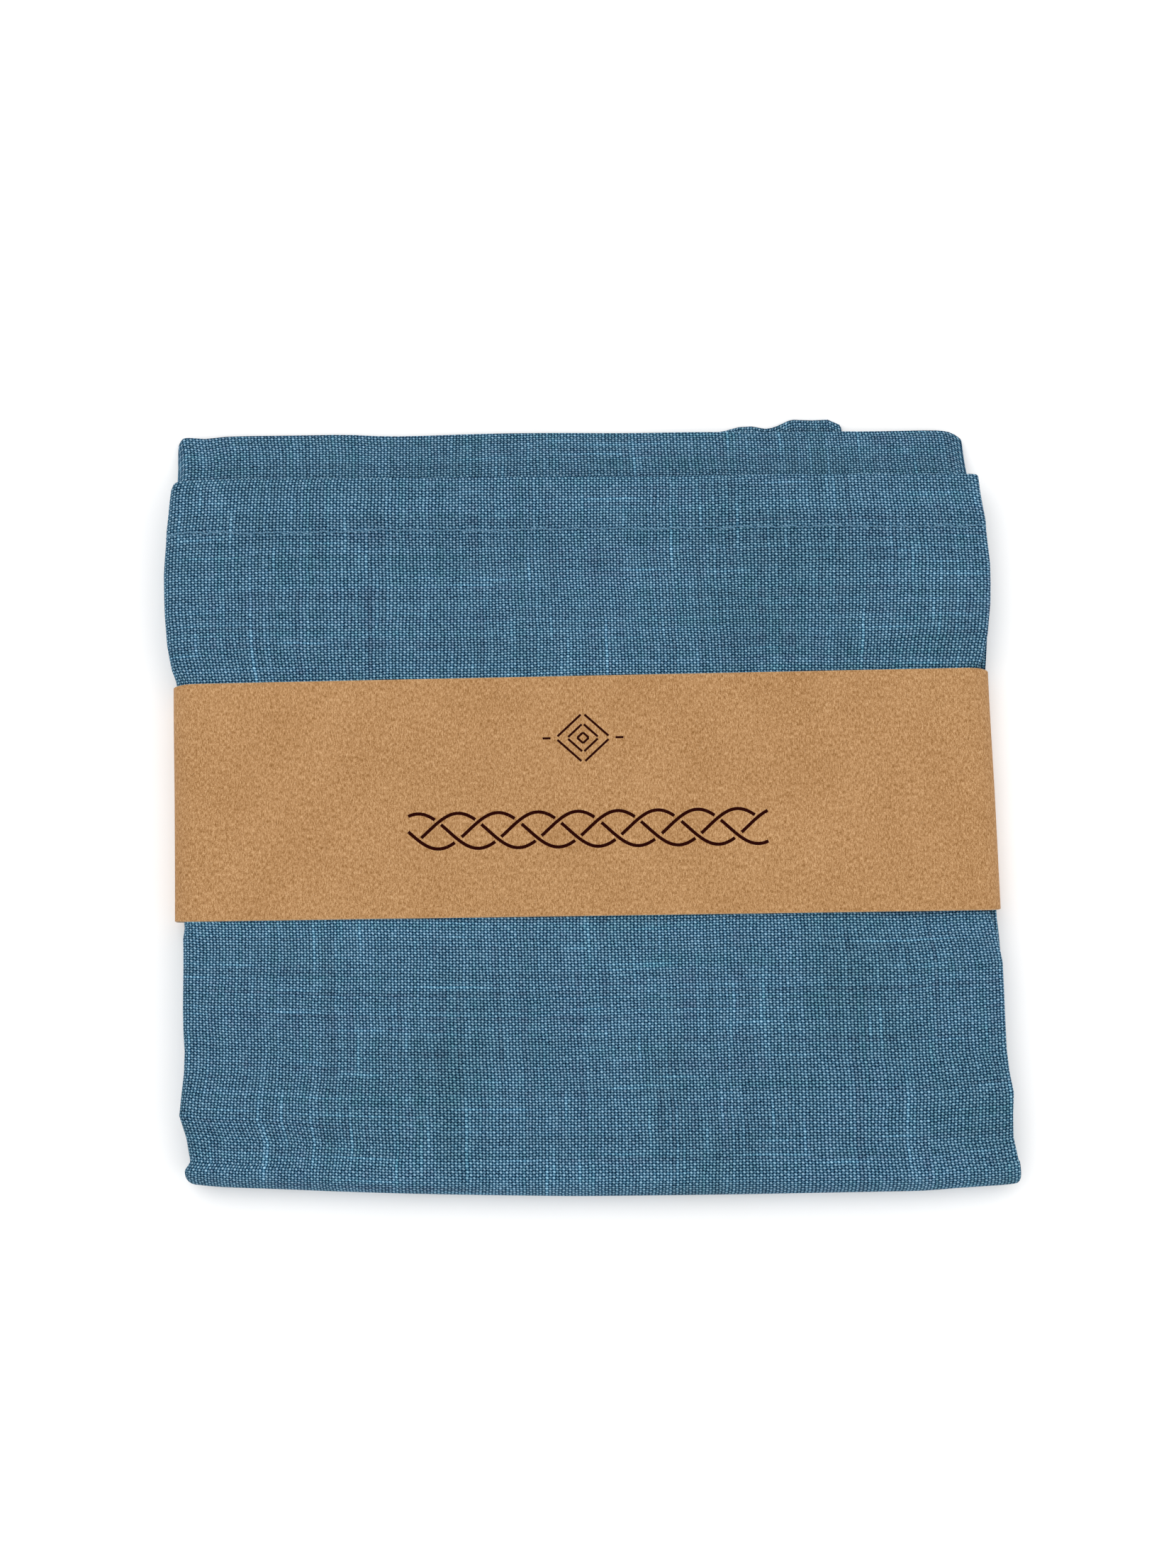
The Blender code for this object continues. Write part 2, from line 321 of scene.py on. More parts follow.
def layers(x, y):
    """Heights of the eight back and the eight front layers at a spot, and the pack's underside."""
    covered = under_band(y)
    lap = 1 - smooth(*LAP_FADE, np.abs(x))
    ground = GROUND + covered * (FLAP_LIFT + LAP_LIFT * lap)
    inner_top = BAND_TOP - PAPER - BAND_CLEARANCE
    puff = 1 - SIDE_SINK * smooth(*SINK_SPAN, np.abs(x))
    open_height = (HEIGHT + RELIEF_DEPTH * relief(x, y)) * puff
    total = covered * (inner_top - ground) + (1 - covered) * open_height
    one = total / (2 * LEVELS)
    back, front = [], []
    for k in range(LEVELS):
        level = np.full_like(x, float(k))
        edge = back_edge(level, x)
        gone = smooth(0.0, EDGE_DROOP_REACH, y - edge)
        fuller = 1 + (swell(edge - y) - 1) * (1 - gone)
        back.append(one * end_share(k, x) * (1 - EDGE_DROOP * gone) * fuller)
        rim = AXIS_Y + FRONT_REACH - slip(level, x)
        past = smooth(0.0, RIM_DROOP_REACH, y - rim)
        front.append(one * end_share(k, x) * (1 - RIM_DROOP * past) * swell(rim - y))
    return ground, back, front


def heights(level, x, y):
    """z of a level at a spot among the upper (front) layers, of the middle, and among the lower ones."""
    ground, back, front = layers(x, y)
    middle = ground + sum(back)
    upper = middle + sum(one * np.clip(k + 0.5 - level, 0, 1) for k, one in enumerate(front))
    lower = ground + sum(one * np.clip(level + 0.5 - k, 0, 1) for k, one in enumerate(back))
    return upper, middle, lower


# How the laid-out pack is fitted to the object's outline
SIDE_RADIUS = 6.65 * MM
CORNER_SQUEEZE, SQUEEZE_REACH = 0.17, 5 * MM
SIDE_SPAN = (35 * MM, HALF_WIDTH)
TUCK_REACH = 16 * MM
FRONT_HEM_SPAN, BACK_HEM_SPAN = (35 * MM, 93 * MM), (60 * MM, 106 * MM)
NOSE_SPAN = (-100 * MM, 30 * MM)
LEAN, LEAN_SPAN_X, LEAN_SPAN_Y = 1.8 * MM, (40 * MM, 78 * MM), (60 * MM, 95 * MM)


def squeeze(x, y, z):
    """Presses the pack's square corners into the band's round sides."""
    covered = under_band(y, SQUEEZE_REACH)
    centre_x = np.where(x < 0, BAND_LEFT(y) + PAPER + SIDE_RADIUS, BAND_RIGHT(y) - PAPER - SIDE_RADIUS)
    out = np.maximum((x - centre_x) * np.sign(x), 0.0)
    up = z - BAND_TOP / 2
    angle = np.arctan2(np.abs(up), out)
    scale = 1 - CORNER_SQUEEZE * covered * np.sin(2 * angle) ** 2
    outside = (x - centre_x) * np.sign(x) > 0
    x = np.where(outside, centre_x + np.sign(x) * out * scale, x)
    return x, np.where(outside, BAND_TOP / 2 + up * scale, z)


def side_shift(x, y, z, level, front_share):
    """Moves the sides to the object's outline, and rounds them inside the band."""
    left = front_share * LEFT_FRONT(y) + (1 - front_share) * LEFT_BACK(y)
    right = front_share * RIGHT_FRONT(y) + (1 - front_share) * RIGHT_BACK(y)
    to_left, to_right = smooth(*SIDE_SPAN, -x), smooth(*SIDE_SPAN, x)
    tuck = RIGHT_TUCK * np.clip((3.5 - level) / 1.5, 0, 1) * (1 - under_band(y, TUCK_REACH))
    x = x + to_left * (left + HALF_WIDTH) + to_right * (right - HALF_WIDTH + tuck)
    return squeeze(x, y, z)


def place(x, level, nx, nw, kind, value, offset):
    """World points of the sheet at a spot of its path (x, level and face direction nx, nw).

    value is the distance from the hem on the front and the back, and the turn on the nose. offset is in
    levels, towards the face side. All arguments broadcast.
    """
    radius = (LEVELS - 0.5 - level) * PITCH
    moved = slip(level, x)
    if kind == "front":
        y = AXIS_Y + FRONT_REACH - value - moved * (1 - smooth(0, SLIP_FADE, value))
    elif kind == "nose":
        y = AXIS_Y - (radius - nw * offset * PITCH) * np.sin(value)
    else:
        moved = moved + ragged(level, x)
        y = AXIS_Y + back_reach(level) - value + moved * (1 - smooth(0, SLIP_FADE, value))
    x = x + nx * offset * PITCH + 0 * y
    pack_y = np.full_like(y, AXIS_Y) if kind == "nose" else np.maximum(y, AXIS_Y)
    upper, middle, lower = heights(level + nw * offset, x, pack_y)
    if kind == "front":
        return settle(x, y, upper, kind, level, 1.0)
    if kind == "back":
        return settle(x, y, lower, kind, level, 0.0)
    up = np.cos(value)
    z = middle + np.where(up >= 0, upper - middle, middle - lower) * up
    return settle(x, y, z, kind, level, 0.5)


def settle(x, y, z, kind, level, front_share):
    """Fits points of the laid-out pack to the object's outline."""
    if kind == "front":
        y = y + FRONT_HEM_SHIFT(x) * smooth(*FRONT_HEM_SPAN, y)
    if kind == "back":
        outermost = np.clip(level - (LEVELS - 2), 0, 1)
        y = y + outermost * BACK_HEM_SHIFT(x) * smooth(*BACK_HEM_SPAN, y)
        lean = LEAN * smooth(*LEAN_SPAN_Y, y) * smooth(*LEAN_SPAN_X, x)
        x = x - near_level(level, INNER_LEVEL) * lean
    y = y + NOSE_SHIFT(x) * (1 - smooth(*NOSE_SPAN, y))
    x, z = side_shift(x, y, z, level, front_share)
    return x, y, z


# -------- the sheet's mesh

# Rows across the sheet, in millimetres, and steps round the nose
HEM_INSETS = [0.0, 0.07, 0.2, 0.5, 2.0, 5.0, 8.5, 12.0, 14.0, 15.3, 16.6, 18.5, 21.0]
NEAR_EDGE = [-11, -7, -4, -2, -0.8, 0.8, 2, 4, 7, 11]
ROW_STEP = 6.0
FRONT_ROWS_INSET = 26
BACK_ROWS_END = 62.0
NOSE_STEPS = 24

# Half the cloth's thickness in levels, in one layer and in a hem, with a dimple along the seam
CLOTH_HALF = 0.30
HEM_HALF = 0.41
SEAM_DIMPLE, DIMPLE_REACH = 0.11, 0.8 * MM
EDGE_ROUND = 0.5 * MM

# Start and size of each side's strip in the flat layout for baking
FACE_STRIP, BACK_STRIP, LAYOUT_LENGTH = (0.075, 0.92), (0.005, 0.06), (0.004, 0.992)


def body_rows(first, last):
    """y positions, in mm, between the nose and a hem zone, with more of them at the band's edges."""
    edges = [BAND_LOW_Y / MM, BAND_HIGH_Y / MM]
    rows = [edge + off for edge in edges for off in NEAR_EDGE]
    count = int((last - first) / ROW_STEP)
    for y in np.linspace(first, last, count + 1):
        if all(abs(y - row) > 0.6 * ROW_STEP for row in rows) or y in (first, last):
            rows.append(float(y))
    return sorted(rows)


def stations():
    """Rows from hem to hem: kind, value as place takes it, and distance across the sheet, per column."""
    whole = np.ones_like(PATH_X)
    radius = (LEVELS - 0.5 - PATH_LEVEL) * PITCH
    front_y = AXIS_Y + FRONT_REACH
    hem = [inset * MM * whole for inset in HEM_INSETS]
    front = body_rows(AXIS_Y / MM, front_y / MM - FRONT_ROWS_INSET)
    front = hem + [(front_y - y * MM) * whole for y in reversed(front)]
    turns = [math.pi * step / NOSE_STEPS for step in range(1, NOSE_STEPS)]
    back = [back_reach(PATH_LEVEL) - (y * MM - AXIS_Y) for y in body_rows(AXIS_Y / MM, BACK_ROWS_END)]
    back += [back[-1] + (hem[-1] - back[-1]) * part for part in (0.35, 0.7)]
    rows = [("front", value, value) for value in front]
    rows += [("nose", turn * whole, FRONT_REACH + turn * radius) for turn in turns]
    return rows + [("back", value, RUNNER_WIDTH - value) for value in back + hem[::-1]]


def edge_profile(inset):
    """Half the sheet's thickness near an edge, as a share: the folded edge is round."""
    t = np.clip(inset / EDGE_ROUND, 0, 1)
    return np.sqrt(1 - (1 - t) ** 2)


def half_thickness(across, s):
    """Half the sheet's thickness, in levels, at a distance across and along the sheet."""
    side = np.minimum(across, RUNNER_WIDTH - across)
    end = np.minimum(s, PATH_END - s)
    near = np.minimum(side, end)
    base = CLOTH_HALF + (HEM_HALF - CLOTH_HALF) * (1 - smooth(HEM - 1.2 * MM, HEM + 1.6 * MM, near))
    dimple = SEAM_DIMPLE * np.exp(-(((near - HEM) / DIMPLE_REACH) ** 2))
    return (base - dimple) * np.minimum(edge_profile(side), edge_profile(end))


def grid_points(side, rows):
    """Points of one side of the sheet, as rows by columns by three."""
    points = np.zeros((len(rows), len(PATH_X), 3))
    for number, (kind, value, across) in enumerate(rows):
        offset = side * half_thickness(across, PATH_S)
        spot = place(PATH_X, PATH_LEVEL, PATH_NX, PATH_NW, kind, value, offset)
        points[number] = np.stack(spot, axis=-1)
    return points


def bake_columns():
    """Where each column goes in the flat layout: the panels that are seen get most of the room."""
    weight = np.where(np.abs(PATH_LEVEL) < 1.5, 1.0, 0.16)
    weight = np.where(np.abs(PATH_LEVEL - (LEVELS - 1)) < 0.6, 0.35, weight)
    total = np.r_[0.0, np.cumsum(np.diff(PATH_S) * (weight[1:] + weight[:-1]) / 2)]
    return total / total[-1]


def make_sheet():
    """The whole cloth as one closed mesh: a face side and a back side that share the points of the rim."""
    rows = stations()
    face_side, back_side = grid_points(1.0, rows), grid_points(-1.0, rows)
    rim = np.ones(face_side.shape[:2], bool)
    rim[1:-1, 1:-1] = False
    index = np.arange(rim.size).reshape(rim.shape)
    back_index = np.where(rim, index, rim.size - 1 + np.cumsum(~rim).reshape(rim.shape))
    points = np.concatenate([face_side.reshape(-1, 3), back_side[~rim]])
    faces, spots = [], []
    for side, grid in enumerate((index, back_index)):
        for r in range(rim.shape[0] - 1):
            for c in range(rim.shape[1] - 1):
                corners = [(r, c), (r, c + 1), (r + 1, c + 1), (r + 1, c)]
                if side == 1:
                    corners.reverse()
                faces.append([grid[corner] for corner in corners])
                spots += [(side, *corner) for corner in corners]
    mesh = bpy.data.meshes.new("runner_sheet")
    mesh.from_pydata([tuple(p) for p in points], [], faces)
    side_of, row_of, column_of = np.array(spots).T
    across = np.array([row[2] for row in rows])[row_of, column_of]
    weave_uv = np.stack([PATH_S[column_of], across], axis=-1)
    face_v = FACE_STRIP[0] + FACE_STRIP[1] * across / RUNNER_WIDTH
    back_v = BACK_STRIP[0] + BACK_STRIP[1] * across / RUNNER_WIDTH
    layout_u = LAYOUT_LENGTH[0] + LAYOUT_LENGTH[1] * bake_columns()[column_of]
    layout_uv = np.stack([layout_u, np.where(side_of == 0, face_v, back_v)], axis=-1)
    for name, values in (("weave", weave_uv), ("OFBake", layout_uv)):
        mesh.uv_layers.new(name=name)
        mesh.uv_layers[name].data.foreach_set("uv", values.astype(np.float32).ravel())
    mesh.shade_smooth()
    return link(mesh)


def link(mesh):
    """A mesh as an object in the scene."""
    item = bpy.data.objects.new(mesh.name, mesh)
    bpy.context.scene.collection.objects.link(item)
    return item


# -------- sewing thread

STITCH = 3.0 * MM
THREAD_RADIUS = 0.27 * MM
THREAD_SIDES = 5
# A lockstitch's points on one side of the cloth: position in stitches and height in levels
LOCKSTITCH = ((0.0, 0.0), (0.14, 0.30), (0.32, 0.50), (0.60, 0.52), (0.85, 0.30))
JITTER = 0.05
LEAN_IN_STITCH, STRAY = 0.14 * MM, 0.7 * MM
WANDER, WANDER_LENGTH = 0.16 * MM, 9 * MM
PULLED_IN_AT_FOLD = 0.6
SEAM_START, END_SEAM_START = HEM + 2 * MM, HEM + 4 * MM


def directions(points):
    """Unit tangents along a row of points."""
    tangent = np.gradient(points, axis=0)
    return tangent / np.linalg.norm(tangent, axis=1)[:, None]


def skin(rings, around):
    """Faces of a closed body made of rings of points, anticlockwise as seen from the last ring."""
    faces = []
    for k in range(rings - 1):
        for n in range(around):
            m = (n + 1) % around
            faces.append([k * around + n, k * around + m, (k + 1) * around + m, (k + 1) * around + n])
    return faces + [list(range(around))[::-1], [(rings - 1) * around + n for n in range(around)]]


def merged(name, parts):
    """One mesh object of several (vertices, faces) parts."""
    vertices, faces = [], []
    for more, loops in parts:
        first = len(vertices)
        vertices += [tuple(p) for p in more]
        faces += [[first + n for n in loop] for loop in loops]
    mesh = bpy.data.meshes.new(name)
    mesh.from_pydata(vertices, [], faces)
    return link(mesh)


def tube(points):
    """Vertices and faces of a thread along points."""
    tangent = directions(points)
    across = np.cross(tangent, np.array([0.0, 0.0, 1.0]))
    weak = np.linalg.norm(across, axis=1) < 0.2
    across[weak] = np.cross(tangent[weak], np.array([0.0, 1.0, 0.0]))
    across /= np.linalg.norm(across, axis=1)[:, None]
    down = np.cross(tangent, across)
    turns = np.arange(THREAD_SIDES)[None, :, None] * 2 * math.pi / THREAD_SIDES
    ring = np.cos(turns) * across[:, None] + np.sin(turns) * down[:, None]
    vertices = (points[:, None] + THREAD_RADIUS * ring).reshape(-1, 3)
    return vertices, skin(len(points), THREAD_SIDES)


def stitch_profile(count, seed):
    """Positions along a seam, in stitches, and heights, in levels, of its points."""
    draw = np.random.RandomState(seed)
    spots, lifts = [], []
    for k in range(count):
        jitter = JITTER * (draw.rand() - 0.5)
        for part, lift in LOCKSTITCH:
            spots.append(k + part + jitter * (0.0 if part == 0.0 else 1.0))
            lifts.append(lift)
    return np.array(spots), np.array(lifts)


def seam_points(kind, side, seed):
    """One thread of a long side's seam, on the face side (1) or the other side (-1)."""
    count = int((PATH_END - 2 * SEAM_START) / STITCH)
    spots, lifts = stitch_profile(count, seed)
    s = SEAM_START + spots * STITCH
    x, level, nx, nw = on_path(s)
    draw = np.random.RandomState(seed + 100)
    stray = np.interp(spots, np.arange(count + 1), draw.rand(count + 1) - 0.5) * STRAY
    lean = LEAN_IN_STITCH * np.sin(2 * math.pi * spots)
    value = HEM + WANDER * np.sin(s / WANDER_LENGTH + seed) + lean + stray
    pulled_in = 1 - PULLED_IN_AT_FOLD * np.abs(nx)
    return np.stack(place(x, level, nx, nw, kind, value, side * lifts * pulled_in), axis=-1)


def end_seam_points(at_start, side, seed):
    """One thread of an end's seam, across the sheet and round the nose."""
    x, level, nx, nw = on_path(HEM if at_start else PATH_END - HEM)
    count = int((RUNNER_WIDTH - 2 * END_SEAM_START) / STITCH)
    spots, lifts = stitch_profile(count, seed)
    across = END_SEAM_START + spots * STITCH
    radius = (LEVELS - 0.5 - level) * PITCH
    turn = FRONT_REACH + math.pi * radius
    points = []
    for kind, low, high in (("front", 0.0, FRONT_REACH), ("nose", FRONT_REACH, turn), ("back", turn, 1.0)):
        inside = (across >= low) & (across < high)
        here = across[inside]
        value = {"front": here, "nose": (here - FRONT_REACH) / radius, "back": RUNNER_WIDTH - here}[kind]
        points.append(np.stack(place(x, level, nx, nw, kind, value, side * lifts[inside]), axis=-1))
    return np.concatenate(points)


def make_stitching():
    """The four seams, each of two threads that meet inside the cloth between stitches."""
    made = []
    for name, cord, thread, where, seed in (
        ("hem_stitching_front", "hem_thread_front", seam_points, "front", 3),
        ("hem_stitching_back", "hem_thread_back", seam_points, "back", 5),
        ("end_stitching_inner", "end_thread_inner", end_seam_points, True, 11),
        ("end_stitching_outer", "end_thread_outer", end_seam_points, False, 11),
    ):
        piece = merged(name, [tube(thread(where, side, seed + (side < 0))) for side in (1, -1)])
        piece.data.shade_smooth()
        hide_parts(cord)
        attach(piece, BODY_CLOTH)
        made.append(piece)
    return made


# -------- the paper band

SIDE_STEPS = 20
TOP_STEPS = 44
BOTTOM_STEPS = 14
BAND_ROWS = 12
BAND_EDGE_ROWS = (0.0, 0.7, 1.5, 2.6, 4.2, 7.0)
LAP = 12 * MM
LAP_STEP = 0.09 * MM
band_relief = waves(9, 60 * MM, 170 * MM, 6)
BAND_WAVES, WAVE_SPAN = 0.07 * MM, (85 * MM, 108 * MM)
EDGE_CURL, CURL_REACH = 0.14 * MM, 1.8 * MM

# The cut edges: how far the face leans out, each edge's slope along x, and the lower edge's inset beneath
CUT_SLANT = 0.22 * MM
UPPER_SKEW, LOWER_SKEW = 0.0045, 0.0030
LOWER_INSET = 1.7 * MM

GLUE_HALF_X, GLUE_HALF_Y = 8 * MM, 26.95 * MM
GLUE_STEPS, SQUARENESS = 72, 0.3


def band_outline(y):
    """(x, z) points of the band's outer face at y, from the outer flap round to the inner flap."""
    radius = BAND_TOP / 2
    left, right = BAND_LEFT(y) + radius, BAND_RIGHT(y) - radius

    def side(centre, first, last):
        turns = [math.radians(angle) for angle in np.linspace(first, last, SIDE_STEPS + 1)[1:-1]]
        return [(centre + radius * math.cos(turn), radius + radius * math.sin(turn)) for turn in turns]

    points = [(x, 0.0) for x in np.linspace(LAP, left, BOTTOM_STEPS)] + side(left, -90, -270)
    points += [(x, BAND_TOP) for x in np.linspace(left, right, TOP_STEPS)] + side(right, 90, -90)
    points += [(x, 0.0) for x in np.linspace(right, LAP + 7 * MM, BOTTOM_STEPS - 3)]
    raised = PAPER + LAP_STEP
    points += [(LAP + 4 * MM, raised * 0.5), (LAP + 1 * MM, raised)]
    points += [(x, raised) for x in np.linspace(LAP - 3 * MM, -LAP, 5)]
    return np.array(points)


def band_lift(x, z):
    """1 on the band's top, where the paper is free to wave and curl, and 0 on its sides and beneath."""
    return smooth(BAND_TOP * 0.8, BAND_TOP, z) * (1 - smooth(*WAVE_SPAN, np.abs(x)))


def band_top(x, y):
    """Height of the band's outer face on top."""
    return BAND_TOP + BAND_WAVES * band_relief(x, y) * band_lift(x, np.full_like(x, BAND_TOP))


def band_edge(x, y, z):
    """Cut edges that are not quite square to each other, as on the object."""
    share = (y - BAND_LOW_Y) / (BAND_HIGH_Y - BAND_LOW_Y)
    skew = share * UPPER_SKEW * x - (1 - share) * LOWER_SKEW * x
    high = smooth(0.2 * BAND_TOP, 0.8 * BAND_TOP, z)
    return skew * high + LOWER_INSET * (1 - share) * (1 - z / BAND_TOP)


def make_band():
    """The paper strip as one closed mesh. Material 0 is its faces and material 1 its cut edges."""
    near = np.array(BAND_EDGE_ROWS) * MM
    middle = np.linspace(BAND_LOW_Y + near[-1], BAND_HIGH_Y - near[-1], BAND_ROWS + 1)[1:-1]
    ys = np.concatenate([BAND_LOW_Y + near, middle, BAND_HIGH_Y - near[::-1]])
    outer, inner = [], []
    for y in ys:
        curl = math.exp((BAND_LOW_Y - y) / CURL_REACH) + math.exp((y - BAND_HIGH_Y) / CURL_REACH)
        slant = CUT_SLANT * (float(y == ys[0]) - float(y == ys[-1]))
        outline = band_outline(y)
        tangent = directions(outline)
        inward = np.stack([tangent[:, 1], -tangent[:, 0]], axis=-1)
        free = band_lift(outline[:, 0], outline[:, 1])
        for store, depth, out in ((outer, 0.0, slant), (inner, PAPER, 0.0)):
            x, z = (outline + inward * depth).T
            lift = (BAND_WAVES * band_relief(x, y) + EDGE_CURL * curl) * free
            store.append(np.stack([x, y + out + band_edge(x, y, z), z + lift], axis=-1))
    outer, inner = np.array(outer), np.array(inner)
    rows, columns = outer.shape[:2]
    points = np.concatenate([outer.reshape(-1, 3), inner.reshape(-1, 3)])
    shift = rows * columns
    lengths = np.r_[0, np.cumsum(np.linalg.norm(np.diff(outer[0], axis=0), axis=1))]
    faces, uvs, kinds = [], [], []

    def add(corners, kind):
        faces.append([r * columns + c + (shift if side else 0) for side, r, c in corners])
        uvs.extend((lengths[c], ys[r]) for side, r, c in corners)
        kinds.append(kind)

    for r in range(rows - 1):
        for c in range(columns - 1):
            add([(0, r, c), (0, r, c + 1), (0, r + 1, c + 1), (0, r + 1, c)], 0)
            add([(1, r + 1, c), (1, r + 1, c + 1), (1, r, c + 1), (1, r, c)], 0)
    for c in range(columns - 1):
        add([(1, 0, c), (1, 0, c + 1), (0, 0, c + 1), (0, 0, c)], 1)
        add([(0, rows - 1, c), (0, rows - 1, c + 1), (1, rows - 1, c + 1), (1, rows - 1, c)], 1)
    for r in range(rows - 1):
        add([(1, r, 0), (0, r, 0), (0, r + 1, 0), (1, r + 1, 0)], 1)
        add([(0, r, columns - 1), (1, r, columns - 1), (1, r + 1, columns - 1), (0, r + 1, columns - 1)], 1)
    mesh = bpy.data.meshes.new("paper_band")
    mesh.from_pydata([tuple(p) for p in points], [], faces)
    layer = mesh.uv_layers.new(name="paper")
    layer.data.foreach_set("uv", np.array(uvs, np.float32).ravel())
    mesh.polygons.foreach_set("material_index", kinds)
    mesh.shade_smooth()
    mesh.set_sharp_from_angle(angle=math.radians(35))
    return link(mesh)


def make_glue():
    """A thin, round-edged film of glue between the lap's two flaps."""
    centre_y = (BAND_LOW_Y + BAND_HIGH_Y) / 2
    rim = []
    for k in range(GLUE_STEPS):
        turn = 2 * math.pi * k / GLUE_STEPS
        c, s = math.cos(turn), math.sin(turn)
        wobble = 1 + 0.03 * math.sin(5 * turn) + 0.02 * math.sin(11 * turn + 1)
        x = GLUE_HALF_X * wobble * math.copysign(abs(c) ** SQUARENESS, c)
        rim.append((x, GLUE_HALF_Y * wobble * math.copysign(abs(s) ** SQUARENESS, s)))
    vertices = []
    for scale, up in ((0.86, 0.05), (1.0, 0.5), (0.86, 0.95)):
        vertices += [(x * scale, centre_y + y * scale, PAPER + up * LAP_STEP) for x, y in rim]
    piece = merged("glue_film", [(vertices, skin(3, GLUE_STEPS))])
    piece.data.shade_smooth()
    piece.data.set_sharp_from_angle(angle=math.radians(40))
    return piece


# -------- printed ornament

INK = 0.03 * MM
INK_SUNK = 0.005 * MM
BRAID_CENTRE = (0.4 * MM, -7.6 * MM)
BRAID_LENGTH, BRAID_WAVE, BRAID_HEIGHT = 99 * MM, 33 * MM, 4.9 * MM
BRAID_STROKE = 0.9 * MM
BRAID_STEPS, SHORTEST_RUN = 420, 12
LOZENGE_CENTRE = (-0.6 * MM, 17.8 * MM)
LOZENGE_STROKE = 0.6 * MM


def ribbon(points, width):
    """A flat closed strip of ink on the band's top along (x, y) points."""
    points = np.asarray(points)
    tangent = directions(points)
    aside = np.stack([-tangent[:, 1], tangent[:, 0]], axis=-1) * width / 2
    ring = []
    for sign, up in ((-1, 0.0), (1, 0.0), (1, INK), (-1, INK)):
        x, y = (points + sign * aside).T
        ring.append(np.stack([x, y, band_top(x, y) + up - INK_SUNK], axis=-1))
    return np.stack(ring, axis=1).reshape(-1, 3), skin(len(points), 4)


def braid_runs():
    """Three strands that pass over and under one another, cut where they pass under."""
    x = np.linspace(-BRAID_LENGTH / 2, BRAID_LENGTH / 2, BRAID_STEPS)
    phases = [2 * math.pi * (x / BRAID_WAVE + k / 3) for k in range(3)]
    y = [BRAID_HEIGHT * np.sin(phase) for phase in phases]
    depth = [np.sin(2 * phase) for phase in phases]
    slope = [BRAID_HEIGHT * 2 * math.pi / BRAID_WAVE * np.cos(phase) for phase in phases]
    runs = []
    for a in range(3):
        keep = np.ones(BRAID_STEPS, bool)
        for b in {0, 1, 2} - {a}:
            gap = np.abs(y[a] - y[b]) / np.sqrt(1 + slope[b] ** 2)
            keep &= ~((gap < 1.05 * BRAID_STROKE) & (depth[a] < depth[b]))
        shown = np.flatnonzero(keep)
        for part in np.split(shown, np.flatnonzero(np.diff(shown) > 1) + 1):
            if len(part) > SHORTEST_RUN:
                runs.append(np.stack([BRAID_CENTRE[0] + x[part], BRAID_CENTRE[1] + y[a][part]], axis=-1))
    return runs


def straight(x0, y0, x1, y1):
    """Points of a straight stroke between two spots given in millimetres from the lozenge's centre."""
    cx, cy = LOZENGE_CENTRE
    return [(cx + (x0 + (x1 - x0) * t) * MM, cy + (y0 + (y1 - y0) * t) * MM) for t in np.linspace(0, 1, 7)]


def lozenge_runs():
    """A small lozenge of nested outlines with a bar at each side."""
    runs = []
    for half_x, half_y in ((7.6, 7.0), (4.4, 4.05), (1.6, 1.5)):
        corners = [(half_x, 0), (0, half_y), (-half_x, 0), (0, -half_y)]
        for (x0, y0), (x1, y1) in zip(corners, corners[1:] + corners[:1]):
            inset = 0.07 if half_x > 2 else 0.0
            dx, dy = (x1 - x0) * inset, (y1 - y0) * inset
            runs.append(straight(x0 + dx, y0 + dy, x1 - dx, y1 - dy))
    for side in (-1, 1):
        runs.append(straight(side * 9.0, 0, side * 11.2, 0))
    return runs


# -------- materials


class Value:
    """A node socket that takes part in sums. Each sum adds one Math node."""

    def __init__(self, tree, socket):
        self.tree = tree
        self.socket = socket

    def math(self, operation, *others):
        node = self.tree.nodes.new("ShaderNodeMath")
        node.operation = operation
        for socket, value in zip(node.inputs, (self, *others)):
            feed(self.tree, socket, value)
        return Value(self.tree, node.outputs[0])

    def __add__(self, other):
        return self.math("ADD", other)

    def __sub__(self, other):
        return self.math("SUBTRACT", other)

    def __mul__(self, other):
        return self.math("MULTIPLY", other)

    def __truediv__(self, other):
        return self.math("DIVIDE", other)

    def step(self, low, high, to_low=0.0, to_high=1.0):
        """A smooth step from to_low, where this is at low, to to_high, where it is at high."""
        node = self.tree.nodes.new("ShaderNodeMapRange")
        node.interpolation_type = "SMOOTHSTEP"
        for socket, value in zip(node.inputs, (self, low, high, to_low, to_high)):
            feed(self.tree, socket, value)
        return Value(self.tree, node.outputs[0])


def feed(tree, socket, value):
    """Links a Value to a socket, or sets the socket to a plain value."""
    if isinstance(value, Value):
        tree.links.new(value.socket, socket)
    else:
        socket.default_value = value


# Sockets of a colour Mix node
MIX_FIRST, MIX_SECOND, MIX_COLOUR = 6, 7, 2


